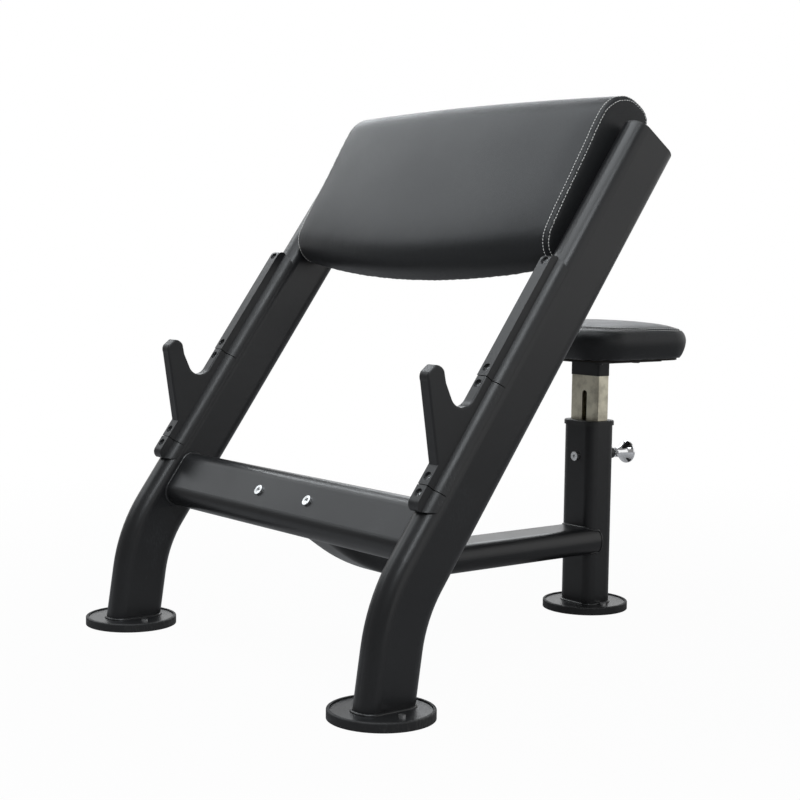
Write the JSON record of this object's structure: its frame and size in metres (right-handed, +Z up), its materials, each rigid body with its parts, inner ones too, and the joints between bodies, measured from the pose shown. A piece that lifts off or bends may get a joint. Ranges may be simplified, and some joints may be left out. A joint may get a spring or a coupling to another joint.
{
  "type": "preacher curl bench",
  "caption": "Preacher curl bench with leaning tube uprights, a padded arm rest, bar hooks in front and a height-adjustable seat behind.",
  "frame": {"origin": "on the floor, in the middle of the plan of the bench", "axes": "+X to the right as seen from the front, +Y from the uprights back to the seat, +Z up"},
  "size_m": [0.887, 0.9861, 0.9151],
  "materials": {
    "frame_paint": "satin black powder coat",
    "zinc_plate": "bright zinc",
    "black_zinc": "black zinc",
    "nickel_plate": "satin nickel plate",
    "chrome": "polished",
    "housing_paint": "satin black",
    "guard_moulding": "fine moulded grain",
    "black_plastic": "moulded",
    "foot_rubber": "matt",
    "upholstery": "grained upholstery vinyl",
    "plywood": "dark stained plywood"
  },
  "bodies": {
    "frame": {"left_upright": "frame_paint", "right_upright": "frame_paint", "left_top_cap": "black_plastic", "right_top_cap": "black_plastic", "left_foot_plate": "frame_paint", "right_foot_plate": "frame_paint", "rear_foot_plate": "frame_paint", "left_foot_shoe": "foot_rubber", "right_foot_shoe": "foot_rubber", "rear_foot_shoe": "foot_rubber", "foot_screws": "zinc_plate", "cross_tube": "frame_paint", "spine_sleeves": "zinc_plate", "spine_tube": "frame_paint", "spine_flange": "frame_paint", "spine_screws": "zinc_plate", "spine_nuts": "zinc_plate", "seat_post_tube": "frame_paint", "post_collar": "black_plastic", "guide_screw": "zinc_plate", "guide_nut": "zinc_plate", "pin_housing": "housing_paint", "pin_housing_cap": "zinc_plate", "pin_spring": "zinc_plate", "pad_upper_rail": "frame_paint", "pad_lower_rail": "frame_paint", "pad_board": "plywood", "pad_cushion": "upholstery", "pad_bolts": "black_zinc", "pad_tee_nuts": "zinc_plate", "left_upper_guard": "guard_moulding", "right_upper_guard": "guard_moulding", "left_bar_hook": "guard_moulding", "right_bar_hook": "guard_moulding", "left_lower_guard": "guard_moulding", "right_lower_guard": "guard_moulding", "guard_screws": "zinc_plate", "guard_nuts": "zinc_plate"},
    "seat": {"seat_post": "nickel_plate", "seat_post_plug": "black_plastic", "post_stop_band": "black_plastic", "seat_plate": "frame_paint", "seat_board": "plywood", "seat_cushion": "upholstery", "seat_bolts": "black_zinc", "seat_tee_nuts": "zinc_plate"},
    "pull_pin": {"pull_pin": "zinc_plate", "pull_knob": "chrome"}
  },
  "joints": [
    {"name": "seat_slide", "type": "slide", "parent": "frame", "child": "seat", "axis": [0, 0, 1], "range_m": [-0.075, 0.1]},
    {"name": "pull_pin_slide", "type": "slide", "parent": "frame", "child": "pull_pin", "axis": [0, 1, 0], "range_m": [-0.008, 0.003], "stiffness_N_per_m": 800, "springref_m": -0.008, "deforming": ["pin_spring"]}
  ]
}
